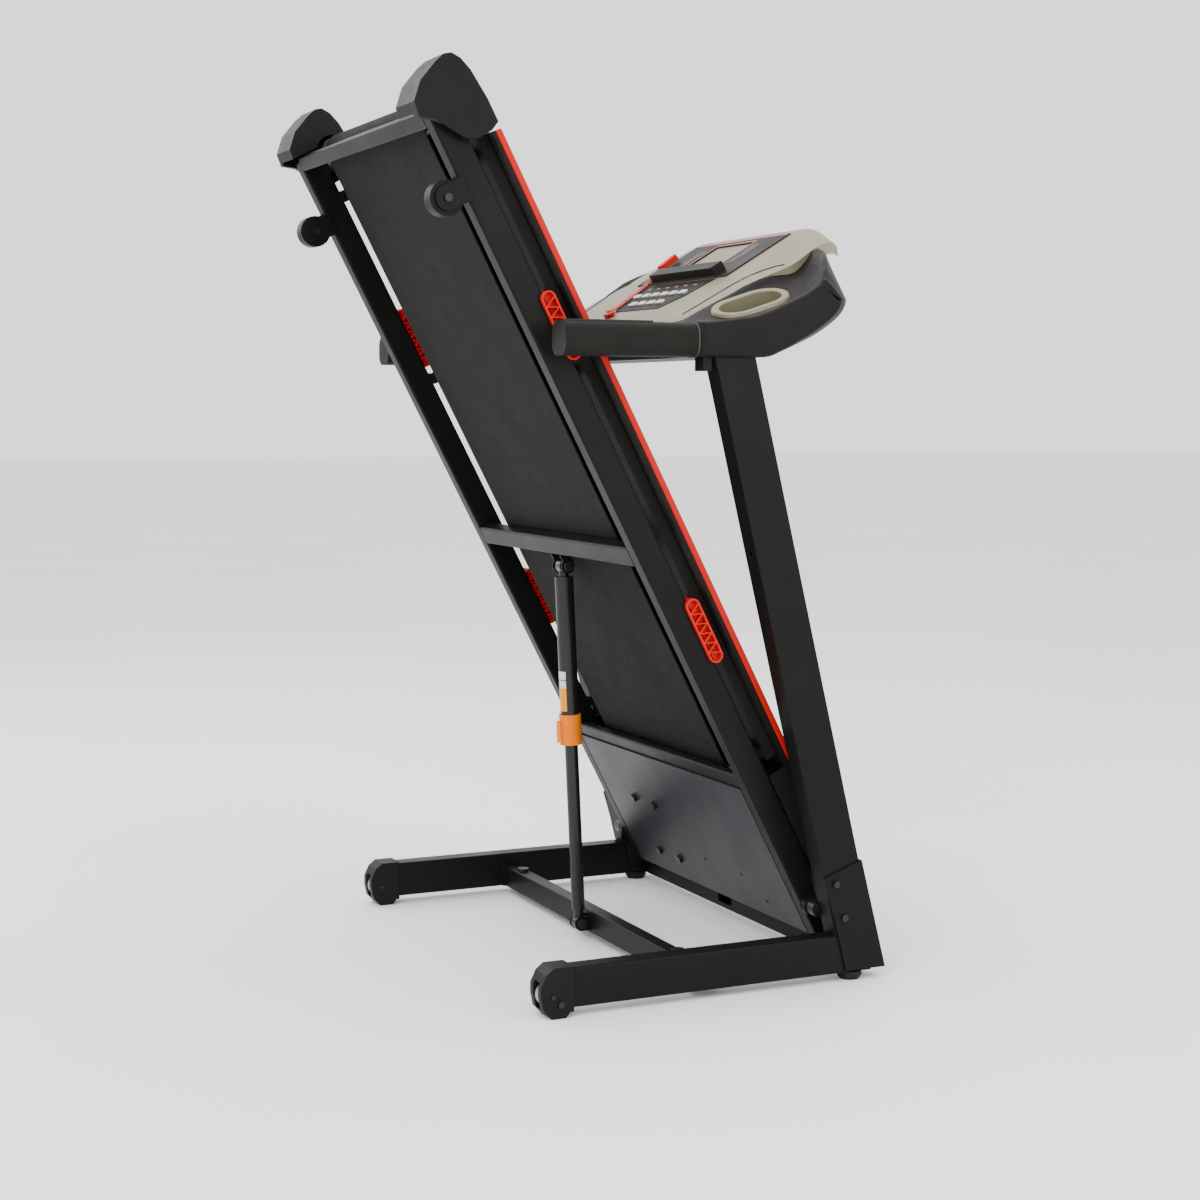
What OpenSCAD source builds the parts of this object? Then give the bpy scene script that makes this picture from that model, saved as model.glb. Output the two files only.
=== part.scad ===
// Folding home treadmill, shown with its running deck folded up.
// +X is the user's right, +Y is forward (towards the console), +Z is up.
// The origin is on the floor, at the middle of the object's footprint.

/* [Base frame] */
// Spacing of the two floor rails, centre to centre
track_w = 700; // [690:5:720]
// Width of the floor rail tube, and of the uprights
rail_w = 32; // [30:1:34]
// Height of the floor rail tube
rail_h = 54; // [50:1:56]
// Height of the rail's underside over the floor
rail_z = 12; // [11:1:14]
// Rear end of the floor rail tubes
rail_rear_y = -142; // [-150:1:-130]
// Front end of the floor rail tubes
rail_front_y = 334; // [325:1:338]
// Wall of the square tubes
wall = 2; // [1.5:0.5:2.5]
// Corner radius of the square tubes
corner_r = 3; // [2.5:0.5:4]

/* [Uprights and console] */
// Rearward lean of the uprights
lean = 13.7; // [12:0.1:15]
// Depth of the upright tube, front to back
upright_d = 60; // [56:1:64]
// Height of the top end of the uprights
upright_top_z = 884; // [880:1:884]
// Slope of the console's face
face_slope = 31.2; // [30:0.1:33]
// Rear end of the hand grips
grip_rear_y = -144; // [-158:1:-130]
// Height of each key over the key field
key_h = 3.5; // [3:0.1:4]

/* [Running deck] */
// Angle between the folded deck and the floor
fold_angle = 62.5; // [60:0.5:65]
// Height of the fold pivot
pivot_z = 98; // [94:1:102]
// Distance from the fold pivot to the tail ends of the side rails
deck_len = 1225; // [1220:1:1228]
// Outer face of the deck's side rails, from the middle
deck_half = 300; // [298:1:302]
// Width of the walking belt
belt_w = 410; // [400:5:415]
// Radius of the two rollers
roller_r = 22; // [20:0.5:22]
// Radius of the transport wheels
wheel_r = 23.5; // [22:0.5:23.5]

/* [Folding strut] */
// Outer radius of the strut's upper tube
strut_upper_r = 14; // [13:0.5:14]
// Outer radius of the strut's lower tube
strut_lower_r = 10; // [9:0.5:10]

/* [Hidden] */

$fn = 48;
eps = 0.01;
// Radial clearance of a running fit
fit = 0.05;
// Gap between a moving piece and what it must not rub on
gap = 0.3;
// Weld seam between plates of one piece
seam = 0.05;

// Base frame
rail_x = track_w / 2;
rail_top = rail_z + rail_h;
rear_bar_y = 69.5;
rear_bar_d = 25;
rear_bar_h = 34;
front_bar_y = 331;
front_bar_d = 30;
front_bar_h = 30;
base_wheel_r = 15.5;
base_wheel_y = -158.5;
base_wheel_z = 30;
base_wheel_w = 12;
foot_y = 307.5;
foot_r = 18;
plate = 3;
boot_x = rail_x + rail_w / 2;
boot_in_x = rail_x - rail_w / 2;
boot_screws = [[273, 141], [287, 92]];
boot_outline = [[254, 150], [309, 170], [315, 172], [355.6, 15.6], [291, 15.6], [279, 64]];
boot_strip = [[315, 172], [355.6, 15.6], [352.6, 15.6], [312, 172]];
boot_slot = [286, 118];
boot_slot_size = [16, 7];
cap_outline = [[-133, 8], [-140, 0], [-160, 0], [-172, 13], [-175.6, 30], [-175.6, 44], [-168, 60],
    [-157, 68.6], [-128, 68.6], [-128, 8]];

// Uprights: a point on the centre line, at the top of the floor rail
upright_y0 = 306.4;
upright_half = upright_d / 2 / cos(lean);
upright_hole_z = 614;
socket_side = [[86, 866], [126, 866], [120, 912], [84, 912]];
upright_slot = [[78, 860], [146, 860], [138, 892], [70, 892]];
clamp_y = [62, 75.5];
clamp_z = 856;
clamp_w = 24;
cross_tube_y = 95;
cross_tube_z = 900;
cross_tube_w = 25;
function upright_y(z) = upright_y0 - (z - rail_top) * tan(lean);

// Fold pivot and folded deck
pivot_y = 270;
pin_r = 8;
deck_rail_w = 25;
deck_rail_h = 38;
under = -10;
deck_top = under + deck_rail_h;
deck_in = deck_half - deck_rail_w;
pan_front = -50;
pan_tail = 195;
tail_bar_s = 1209;
tail_bar_w = 23;
mid_bar_s = 557;
mid_bar_w = 30;
bar_h = 19;
board_n = deck_top + 14;
board_t = 16;
board_s = [215, 1188];
board_half = 285;
belt_t = 2;
roller_n = board_n + board_t - roller_r;
front_roller_s = 165;
rear_roller_s = 1216;
roller_half = 218;
shaft_r = 8;
trim_s = [201, 1170];
foot_top = 68;
cushion_s = [436, 905];
cushion_len = 100;
cushion_low = 21;
cushion_rim = 2.5;
web_pitch = 7.6;
web_count = 10;
web_t = 1.6;
pocket_depth = 8;
bracket_s = [240, 836, 1150];
bracket_w = 18;
fork_t = 3.5;
fork_r = 17;
wheel_s = 1121;
wheel_n = -35;
wheel_w = 23.6;
axle_r = 5;
cap_x = [243, 315];
tail_cap_outline = [[1171, 33], [1178, 18], [1217, -9], [1229, -27], [1249, -25], [1269, -5],
    [1282, 25], [1286, 40], [1283, 50], [1272, 58], [1253, 64], [1210, 68.6], [1179, 68.6],
    [1173, 56]];
tail_cap_inner = [[1160, 37], [1182, 22], [1220, -5], [1231, -23], [1247, -21], [1265, -3],
    [1278, 26], [1282, 40], [1279, 48], [1270, 54], [1252, 60], [1209, 64.6], [1160, 64.6]];
hood_outline = [[-52, 28], [-52, 60], [-34, 84], [-6, 95], [120, 95], [178, 82], [200, 66],
    [200, 28]];
hood_inner = [[-49, 27], [-49, 59], [-32, 81], [-5, 92], [119, 92], [176, 79], [197, 63], [210, 63],
    [210, 27]];
hood_half = 303;
inlet_x = -216;
inlet_n = 44;

// Drive, inside the hood
motor_s = 44;
motor_n = 40;
motor_r = 38;
motor_x = [-192, -76];
motor_bolts = [[-168, 94], [-95, 94], [-168, -7], [-95, -7]];
pulley_x = [-246, -228];
small_pulley_r = 14;
large_pulley_r = 28;

// Folding strut: lower pivot on the rear crossbar, upper pivot on the deck
strut_foot = [44, 27];
strut_s = 536;
strut_n = -6;
strut_head = [pivot_y - strut_s * cos(fold_angle) + strut_n * sin(fold_angle),
    pivot_z + strut_s * sin(fold_angle) + strut_n * cos(fold_angle)];
strut_len = norm(strut_head - strut_foot);
strut_lean = atan2(strut_foot[0] - strut_head[0], strut_head[1] - strut_foot[1]);
strut_lower_len = 290;
strut_upper_len = 262;
collar_len = 46;
eye_r = 10;
eye_half = 8;
cheek_in = 15;

// Console
face_top_y = 318;
face_top_z = 1063;
wing_half = 375;
fascia_half = 215;
shell_t = 4;
grip_w = 46;
grip_h = 46;
grip_z = 897;
grip_front_y = 50;
bar_r = 12.5;
shell_outline = [[50, 874], [151, 875], [180, 882], [222, 900], [244, 912], [264, 927], [275, 941],
    [279, 955], [275, 966], [264, 978], [251, 986], [240, 985], [228, 973], [215, 964], [203, 957],
    [172, 945], [141, 934], [50, 920]];
shell_inner = [[54, 878], [150, 879], [179, 886], [220, 904], [242, 916], [261, 930], [271, 943],
    [275, 955], [271, 964], [261, 975], [250, 982], [241, 981], [230, 969], [217, 960], [205, 953],
    [173, 941], [142, 930], [54, 916]];
slab_half = 356;
tray_rear_y = 60;
tray_z = 905;
shell_low = [[54, 878], [150, 879], [179, 886], [220, 904], [242, 916], [246, 922], [54, 916]];
wing_x = [217, 252, 354, 358];
wing_z = 914;
wing_inner_side = [[84, wing_z], [84, 926], [210, 989], [255, 1003], [285, 1024], [300, 1033],
    [318, 1010], [318, 960], [256, wing_z]];
wing_outer_side = [[84, wing_z], [84, 923], [172, 941], [215, 958], [240, 976], [253, 994],
    [266, 984], [283, 955], [256, wing_z]];
cavity_inner_side = [[88, 890], [88, 922], [209, 983], [254, 997], [283, 1018], [298, 1026],
    [313, 1008], [313, 962], [252, 890]];
cavity_outer_side = [[88, 890], [88, 918], [171, 936], [214, 953], [238, 970], [252, 987],
    [262, 979], [278, 954], [252, 890]];
fascia_low_s = -240;
fascia_high_s = 20;
bezel_s = [-105, 0];
bezel_half = 148;
lcd_s = [-84, -15];
lcd_half = 58;
key_pitch = 30.5;
key_shift = 5;
key_size = [20, 10];
key_row_low = -194;
key_row_high = -168;
key_field = [[-122, -130], [122, -130], [104, -180], [74, -213], [-74, -213], [-104, -180]];
key_field_middle = [0, -171.5];
key_hole = [for (p = key_field) key_field_middle + (p - key_field_middle) * 1.01];
ledge_x = [-94, 112];
ledge_s = [-125, -103];
ledge_h = 14;
board_s_low = -205;
board_drop = -24;
board_thick = 1.6;
cup_x = 300;
cup_y = 168;
cup_z = 948;
cup_tilt = 18;
cup_roll = 14;
cup_depth = 44;
safety_x = -68;
safety_s = -226;

// Lanyard: two strands lying on the console face, from the safety key to the clip and back.
// Each point is across the face, up the face, and height over it.
lanyard_d = 3;
lanyard_route = [[-72, -223, 8], [-75, -214, 5.5], [-80, -203, 3], [-85, -187, 3], [-90, -170, 3],
    [-95, -153, 3], [-99, -138, 3.5], [-102, -126, 5], [-104, -117, 6.5], [-107, -110, 8],
    [-111, -107, 8.5], [-115, -110, 8], [-114, -117, 6.5], [-111, -126, 5], [-107, -139, 3.5],
    [-103, -154, 3], [-99, -170, 3], [-94, -186, 3], [-88, -200, 3.5], [-83, -210, 4.5],
    [-79, -217, 5.5], [-77, -223, 8]];

// Everything is moved along Y so that the footprint's middle lies on the origin
tail_corner = tail_cap_outline[4];
hood_corner = hood_outline[2];
rearmost = pivot_y - tail_corner[0] * cos(fold_angle) + tail_corner[1] * sin(fold_angle);
foremost = pivot_y - hood_corner[0] * cos(fold_angle) + hood_corner[1] * sin(fold_angle);
frame_y = -(rearmost + max(foremost, boot_outline[3][0])) / 2;

// ---- shared shapes ----

module placed() {
    translate([0, frame_y, 0])
        children();
}

// Rectangle with true round corners, centred
module rounded_rect(w, h, r) {
    square([w - 2 * r, h], center = true);
    square([w, h - 2 * r], center = true);
    for (x = [-1, 1], y = [-1, 1])
        translate([x * (w / 2 - r), y * (h / 2 - r)])
            circle(r);
}

// Section of a square tube
module tube_section(w, h) {
    difference() {
        rounded_rect(w, h, corner_r);
        rounded_rect(w - 2 * wall, h - 2 * wall, corner_r - wall);
    }
}

// Slot with round ends along the first axis, centred
module stadium(length, w) {
    square([length - w, w], center = true);
    for (x = [-1, 1])
        translate([x * (length - w) / 2, 0])
            circle(w / 2);
}

// Extrudes an outline of (Y, Z) points from x0 to x1
module across(x0, x1) {
    translate([x0, 0, 0])
        rotate([90, 0, 90])
            linear_extrude(x1 - x0)
                children();
}

// Extrudes a section in X and Z from y0 to y1
module along(y0, y1) {
    translate([0, y1, 0])
        rotate([90, 0, 0])
            linear_extrude(y1 - y0)
                children();
}

// Cylinder along X, from x0 to x1, at a point in Y and Z
module rod(x0, x1, r, y = 0, z = 0) {
    translate([x0, y, z])
        rotate([0, 90, 0])
            cylinder(h = x1 - x0, r = r);
}

// Left copies are mirror images of right ones
module both_sides() {
    children();
    mirror([1, 0, 0])
        children();
}

module side(right) {
    mirror([right ? 0 : 1, 0, 0])
        children();
}

// Deck frame: the origin on the fold pivot, -Y towards the tail, +Z out of the walking face
module on_deck() {
    translate([0, pivot_y, pivot_z])
        rotate([-fold_angle, 0, 0])
            children();
}

// Turns a list of (distance from the pivot, height) into the deck frame's Y and Z
function deck_points(list) = [for (p = list) [-p[0], p[1]]];

// Console face: the origin at the top of the display, +Y up the slope, +Z out of the face
module on_face() {
    translate([0, face_top_y, face_top_z])
        rotate([face_slope, 0, 0])
            children();
}

// Strut frame: the origin on the lower pivot, +Z along the strut
module on_strut() {
    translate([0, strut_foot[0], strut_foot[1]])
        rotate([strut_lean, 0, 0])
            children();
}

// Tube swept along a list of points
function unit(v) = v / norm(v);
function sweep_dir(p, i) = unit(p[min(i + 1, len(p) - 1)] - p[max(i - 1, 0)]);
module swept_tube(p, r, sides) {
    ring = [for (i = [0:len(p) - 1])
        let (d = sweep_dir(p, i), a = unit(cross(d, [0, 0, 1])), b = cross(a, d))
        for (k = [0:sides - 1]) p[i] + r * (cos(k * 360 / sides) * a + sin(k * 360 / sides) * b)];
    last = (len(p) - 1) * sides;
    walls = [for (i = [0:len(p) - 2], k = [0:sides - 1])
        [i * sides + k, (i + 1) * sides + k, (i + 1) * sides + (k + 1) % sides,
            i * sides + (k + 1) % sides]];
    ends = [[for (k = [0:sides - 1]) k], [for (k = [sides - 1:-1:0]) last + k]];
    polyhedron(ring, concat(walls, ends), convexity = 10);
}

// ---- base ----

module base_rail() {
    difference() {
        along(rail_rear_y, rail_front_y)
            translate([rail_x, rail_z + rail_h / 2])
                tube_section(rail_w, rail_h);
        for (p = boot_screws)
            rod(boot_in_x - 1, boot_x + 1, 3, p[0], p[1]);
    }
}

module base_rail_left() {
    color("#33312f")
        placed()
            side(false)
                base_rail();
}

module base_rail_right() {
    color("#33312f")
        placed()
            side(true)
                base_rail();
}

module rear_crossbar() {
    inner = boot_in_x;
    lug_y = strut_foot[0];
    color("#33312f")
        placed() {
            translate([0, rear_bar_y, 0])
                across(-inner + plate + seam, inner - plate - seam)
                    translate([0, rail_z + rear_bar_h / 2])
                        tube_section(rear_bar_d, rear_bar_h);
            both_sides()
                translate([inner - plate, rear_bar_y - 15, rail_z])
                    cube([plate, 30, 38]);
            both_sides()
                difference() {
                    union() {
                        rod(eye_half + gap, eye_half + gap + plate, 11, lug_y, strut_foot[1]);
                        translate([eye_half + gap, lug_y, strut_foot[1] - 11])
                            cube([plate, rear_bar_y - rear_bar_d / 2 - seam - lug_y, 22]);
                    }
                    rod(eye_half, eye_half + plate + 1, 5 + fit, lug_y, strut_foot[1]);
                }
        }
}

module front_crossbar() {
    inner = boot_in_x - plate - seam;
    color("#33312f")
        placed()
            difference() {
                translate([0, front_bar_y, 0])
                    across(-inner, inner)
                        translate([0, rail_z + front_bar_h / 2])
                            tube_section(front_bar_d, front_bar_h);
                translate([-62, front_bar_y - front_bar_d, rail_z + 9])
                    cube([44, front_bar_d, 12]);
            }
}

module rail_end_cap() {
    half = rail_w / 2 + 3;
    slot_half = base_wheel_w / 2 + 2;
    difference() {
        across(rail_x - half, rail_x + half)
            polygon(cap_outline);
        along(rail_rear_y - 2, -120)
            translate([rail_x, rail_z + rail_h / 2])
                square([rail_w + gap, rail_h + gap], center = true);
        translate([rail_x - slot_half, -200, rail_z])
            cube([2 * slot_half, 200 + rail_rear_y, 37]);
        rod(rail_x - half - 1, rail_x + half + 1, 3 + fit, base_wheel_y, base_wheel_z);
    }
}

module rail_end_caps() {
    color("#3c3a38")
        placed()
            both_sides()
                rail_end_cap();
}

module base_wheel() {
    difference() {
        rod(rail_x - base_wheel_w / 2, rail_x + base_wheel_w / 2, base_wheel_r, base_wheel_y,
            base_wheel_z);
        rod(rail_x - base_wheel_w, rail_x + base_wheel_w, 3 + fit, base_wheel_y, base_wheel_z);
        for (s = [-1, 1])
            rod(rail_x + s * base_wheel_w / 2 - 1.5, rail_x + s * base_wheel_w / 2 + 1.5, 10,
                base_wheel_y, base_wheel_z);
    }
    difference() {
        rod(rail_x - base_wheel_w / 2, rail_x + base_wheel_w / 2, 6, base_wheel_y, base_wheel_z);
        rod(rail_x - base_wheel_w, rail_x + base_wheel_w, 3 + fit, base_wheel_y, base_wheel_z);
    }
}

module base_wheel_left() {
    color("#8b8a86")
        placed()
            side(false)
                base_wheel();
}

module base_wheel_right() {
    color("#8b8a86")
        placed()
            side(true)
                base_wheel();
}

// Wheel axles, crossbar bolts, boot screws, cap screws and the strut's lower pin
module base_bolts() {
    half = rail_w / 2 + 3;
    color("#55524f")
        placed() {
            both_sides() {
                rod(rail_x - half - 2, rail_x + half + 2, 3, base_wheel_y, base_wheel_z);
                rod(boot_x + 3, boot_x + 6, 4.5, -147, 19);
                translate([282, rear_bar_y, rail_z + rear_bar_h])
                    cylinder(h = 5, r = 9);
                for (p = boot_screws) {
                    rod(boot_x + plate, boot_x + plate + 4, 5, p[0], p[1]);
                    rod(boot_in_x - plate, boot_x + plate, 3, p[0], p[1]);
                }
            }
            rod(-eye_half - plate - 1, eye_half + plate + 1, 5, strut_foot[0], strut_foot[1]);
            for (s = [-1, 1])
                rod(s * (eye_half + plate + 2.5) - 2, s * (eye_half + plate + 2.5) + 2, 8,
                    strut_foot[0], strut_foot[1]);
        }
}

module rubber_feet() {
    color("#262523")
        placed()
            both_sides()
                translate([rail_x, foot_y, 0]) {
                    cylinder(h = 6, r1 = foot_r - 4, r2 = foot_r);
                    translate([0, 0, 6])
                        cylinder(h = rail_z - 6, r = foot_r);
                }
}

// Sheet-metal boot: an outer plate, an inner plate and the strip that joins them in front
module upright_boot() {
    difference() {
        union() {
            across(boot_x, boot_x + plate)
                polygon(boot_outline);
            across(boot_in_x - plate, boot_in_x)
                polygon(boot_outline);
            across(boot_in_x - plate, boot_x + plate)
                polygon(boot_strip);
        }
        for (p = boot_screws)
            rod(boot_in_x - plate - 1, boot_x + plate + 1, 3, p[0], p[1]);
        rod(boot_in_x - plate - 1, boot_in_x + 1, pin_r, pivot_y, pivot_z);
        translate([boot_in_x, boot_slot[0], boot_slot[1]])
            rotate([90, 0, 90])
                linear_extrude(3 * plate, center = true)
                    rotate(75)
                        stadium(boot_slot_size[0], boot_slot_size[1]);
    }
}

module upright_boots() {
    color("#3a3836")
        placed()
            both_sides()
                upright_boot();
}

module upright() {
    half = upright_half;
    skin = wall / cos(lean);
    function edge(z, d) = [upright_y(z) + d, z];
    clear = rail_top + gap;
    difference() {
        across(boot_in_x, boot_x)
            polygon([edge(clear, -half), edge(clear, half), edge(upright_top_z, half),
                edge(upright_top_z, -half)]);
        across(boot_in_x + wall, boot_x - wall)
            polygon([edge(60, skin - half), edge(60, half - skin), edge(900, half - skin),
                edge(900, skin - half)]);
        for (p = boot_screws)
            rod(boot_in_x - 1, boot_x + 1, 3, p[0], p[1]);
        translate([rail_x, upright_y(upright_hole_z), upright_hole_z])
            rotate([90 + lean, 0, 0])
                cylinder(h = upright_d, r = 4);
    }
}

module upright_left() {
    color("#33312f")
        placed()
            side(false)
                upright();
}

module upright_right() {
    color("#33312f")
        placed()
            side(true)
                upright();
}

// Fold pivots: a pin on each boot, with a shoulder that spaces the deck
module pivot_pins() {
    color("#6d6a66")
        placed()
            both_sides() {
                rod(deck_half - 8, boot_in_x, pin_r, pivot_y, pivot_z);
                rod(deck_half + 12 + gap, boot_in_x - plate, 12, pivot_y, pivot_z);
            }
}

// ---- console ----

// Steel frame inside the console: handlebar tubes, cross tube, and the sockets on the uprights
module console_frame() {
    color("#33312f")
        placed() {
            both_sides() {
                rod_y = grip_rear_y + 12;
                translate([rail_x + 2, rod_y, grip_z])
                    rotate([-90, 0, 0])
                        cylinder(h = 110 - rod_y, r = bar_r);
                across(boot_in_x + wall + gap, boot_x - wall - gap)
                    polygon(socket_side);
                translate([rail_x - clamp_w / 2, clamp_y[0], clamp_z])
                    cube([clamp_w, clamp_y[1] - clamp_y[0], grip_z - bar_r - seam - clamp_z]);
            }
            translate([0, cross_tube_y, 0])
                across(-boot_in_x - wall, boot_in_x + wall)
                    translate([0, cross_tube_z])
                        tube_section(cross_tube_w, cross_tube_w);
        }
}

module handgrip() {
    difference() {
        translate([rail_x + 2, 0, grip_z])
            along(grip_rear_y, grip_front_y)
                rounded_rect(grip_w, grip_h, 16);
        translate([rail_x + 2, grip_rear_y + 12 - gap, grip_z])
            rotate([-90, 0, 0])
                cylinder(h = 300, r = bar_r + fit);
    }
}

module handgrip_left() {
    color("#2f2d2a")
        placed()
            side(false)
                handgrip();
}

module handgrip_right() {
    color("#2f2d2a")
        placed()
            side(true)
                handgrip();
}

// The cup well's outline, in the tilted frame of the cup holder
module on_cup() {
    translate([cup_x, cup_y, cup_z])
        rotate([cup_tilt, 0, 0])
            rotate([0, cup_roll, 0])
                children();
}

module cup_outline(grow) {
    rotate(90)
        stadium(100 + 2 * grow, 62 + 2 * grow);
}

// Body of one wing, between its inner side and its outer side
module wing_body(inner_side, outer_side, trim) {
    hull() {
        across(wing_x[0] + trim, wing_x[1])
            polygon(inner_side);
        across(wing_x[2], wing_x[3] - trim)
            polygon(outer_side);
    }
}

// Slab in the tilted frame of the cup holder, from height low to height high
module dish_slab(low, high) {
    intersection() {
        across(240, slab_half)
            translate([180, 960])
                square([400, 300], center = true);
        on_cup()
            translate([-75, -72, low])
                cube([150, 165, high - low]);
    }
}

// Black lower shell with its two dished wings
module console_shell() {
    top_half = fascia_half + 2;
    color("#2f2d2a")
        placed()
            difference() {
                union() {
                    difference() {
                        across(-wing_half, wing_half)
                            polygon(shell_outline);
                        across(-slab_half, slab_half)
                            polygon(shell_inner);
                        across(-wing_half + shell_t, wing_half - shell_t)
                            polygon(shell_low);
                        both_sides()
                            dish_slab(3, 150);
                    }
                    both_sides() {
                        difference() {
                            wing_body(wing_inner_side, wing_outer_side, 0);
                            wing_body(cavity_inner_side, cavity_outer_side, shell_t);
                            dish_slab(3, 150);
                        }
                        intersection() {
                            wing_body(wing_inner_side, wing_outer_side, 0);
                            dish_slab(-1, 3);
                        }
                    }
                }
                translate([-top_half, tray_rear_y, tray_z])
                    cube([2 * top_half, 400, 200]);
                both_sides() {
                    across(boot_in_x - 1, boot_x + 1)
                        polygon(upright_slot);
                    translate([rail_x - clamp_w / 2 - gap, clamp_y[0] - gap, clamp_z])
                        cube([clamp_w + 2 * gap, rail_w, 40]);
                    on_cup()
                        translate([0, 0, -60])
                            linear_extrude(80)
                                cup_outline(gap);
                    translate([rail_x + 2, 20, grip_z])
                        rotate([-90, 0, 0])
                            cylinder(h = 60, r = bar_r + fit);
                }
            }
}

// Silver face with sloping sides, open for the display and the key field
module fascia_block(drop, grow) {
    top = -drop;
    hull() {
        on_face() {
            translate([-190 - grow, fascia_low_s - 2 * grow, top - 1])
                cube([380 + 2 * grow, 1, 1]);
            translate([-165 - grow, fascia_high_s + grow, top - 1])
                cube([330 + 2 * grow, 1, 1]);
        }
        translate([-fascia_half - grow, 108 - 2 * grow, tray_z - eps])
            cube([2 * fascia_half + 2 * grow, 1, 1]);
        translate([-fascia_half - grow, 284 + 2 * grow, 950])
            cube([2 * fascia_half + 2 * grow, 1, 1]);
        translate([-fascia_half + 5 - grow, 351 + grow, 1040])
            cube([2 * fascia_half - 10 + 2 * grow, 1, 1]);
    }
}

module console_fascia() {
    color("#d6d3c6")
        placed()
            difference() {
                fascia_block(0, 0);
                fascia_block(shell_t, -shell_t);
                translate([-150, 90, 890])
                    cube([300, 185, 25]);
                on_face() {
                    translate([-bezel_half - gap, bezel_s[0] - 22, -8])
                        cube([2 * (bezel_half + gap), 22 + bezel_s[1] - bezel_s[0] + gap, 10]);
                    translate([0, 0, -8])
                        linear_extrude(10)
                            polygon(key_hole);
                    translate([safety_x, safety_s, -8])
                        cylinder(h = 10, r = 6 + fit);
                }
            }
}

// Dark surround of the display, with the ledge that holds a phone or book
module display_bezel() {
    color("#3a3634")
        placed()
            on_face()
                difference() {
                    union() {
                        translate([-bezel_half, bezel_s[0] - 21, -6])
                            cube([2 * bezel_half, 21 + bezel_s[1] - bezel_s[0], 8]);
                        translate([ledge_x[0], ledge_s[0], 2])
                            cube([ledge_x[1] - ledge_x[0], ledge_s[1] - ledge_s[0], ledge_h]);
                    }
                    translate([-lcd_half, lcd_s[0], -7])
                        cube([2 * lcd_half, lcd_s[1] - lcd_s[0], 10]);
                }
}

module lcd_panel() {
    color("#c9b3ac")
        placed()
            on_face()
                translate([-lcd_half + gap, lcd_s[0] + gap, -4])
                    cube([2 * (lcd_half - gap), lcd_s[1] - lcd_s[0] - 2 * gap, 4]);
}

module control_board() {
    color("#2d6a3f")
        placed()
            on_face() {
                translate([-110, board_s_low, board_drop])
                    cube([220, 185, board_thick]);
                translate([0, 0, board_drop + board_thick]) {
                    translate([-30, -150, 0])
                        cube([40, 40, 6]);
                    for (x = [-80, 60], y = [-190, -60])
                        translate([x, y, 0])
                            cube([18, 12, 8]);
                }
            }
}

// One cup holder: a flat rim and a hanging well
module cup_holder() {
    on_cup()
        difference() {
            union() {
                translate([0, 0, 3])
                    linear_extrude(3)
                        cup_outline(7);
                translate([0, 0, -cup_depth])
                    linear_extrude(cup_depth + 4)
                        cup_outline(0);
            }
            translate([0, 0, 2 - cup_depth])
                linear_extrude(cup_depth + 10)
                    cup_outline(-3);
        }
}

module cup_holders() {
    color("#d6d3c6")
        placed()
            both_sides()
                cup_holder();
}

// Places of the keys on the face: four function keys below, six preset keys above
key_places = [for (i = [0:3]) [key_shift + (i - 1.5) * key_pitch, key_row_low],
    for (i = [0:5]) [key_shift + (i - 2.5) * key_pitch, key_row_high]];

module key_panel() {
    color("#34302f")
        placed()
            on_face()
                difference() {
                    translate([0, 0, -6])
                        linear_extrude(7)
                            polygon(key_field);
                    for (p = key_places)
                        translate([p[0], p[1], 0])
                            cube([key_size[0] + 2 * gap, key_size[1] + 2 * gap, 20], center = true);
                }
}

module panel_key(i) {
    color("#d2cfc4")
        placed()
            on_face()
                translate([key_places[i][0], key_places[i][1], -4])
                    linear_extrude(4 + key_h)
                        rounded_rect(key_size[0], key_size[1], 2.5);
}

module start_key() {
    panel_key(0);
}

module stop_key() {
    panel_key(1);
}

module faster_key() {
    panel_key(2);
}

module slower_key() {
    panel_key(3);
}

module preset_key_1() {
    panel_key(4);
}

module preset_key_2() {
    panel_key(5);
}

module preset_key_3() {
    panel_key(6);
}

module preset_key_4() {
    panel_key(7);
}

module preset_key_5() {
    panel_key(8);
}

module preset_key_6() {
    panel_key(9);
}

// Plug of the magnetic stop key
module safety_key() {
    color("#e0463c")
        placed()
            on_face()
                translate([safety_x, safety_s, 0]) {
                    translate([0, 0, -5])
                        cylinder(h = 8, r = 6);
                    translate([0, 0, gap])
                        linear_extrude(6)
                            stadium(24, 12);
                }
}

module lanyard_cord() {
    color("#d94a40")
        placed()
            on_face()
                swept_tube(lanyard_route, lanyard_d / 2, 8);
}

// Garment clip at the end of the lanyard, lying beside the display
module lanyard_clip() {
    color("#e0463c")
        placed()
            on_face()
                translate([-113, -103, 5.5])
                    rotate(24) {
                        translate([0, 32, 0])
                            linear_extrude(5)
                                rotate(90)
                                    stadium(58, 13);
                        translate([0, 36, 5 + gap])
                            linear_extrude(4)
                                rotate(90)
                                    stadium(48, 12);
                        translate([0, 34, 5])
                            cylinder(h = 1, r = 3);
                    }
}

// ---- running deck ----

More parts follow.
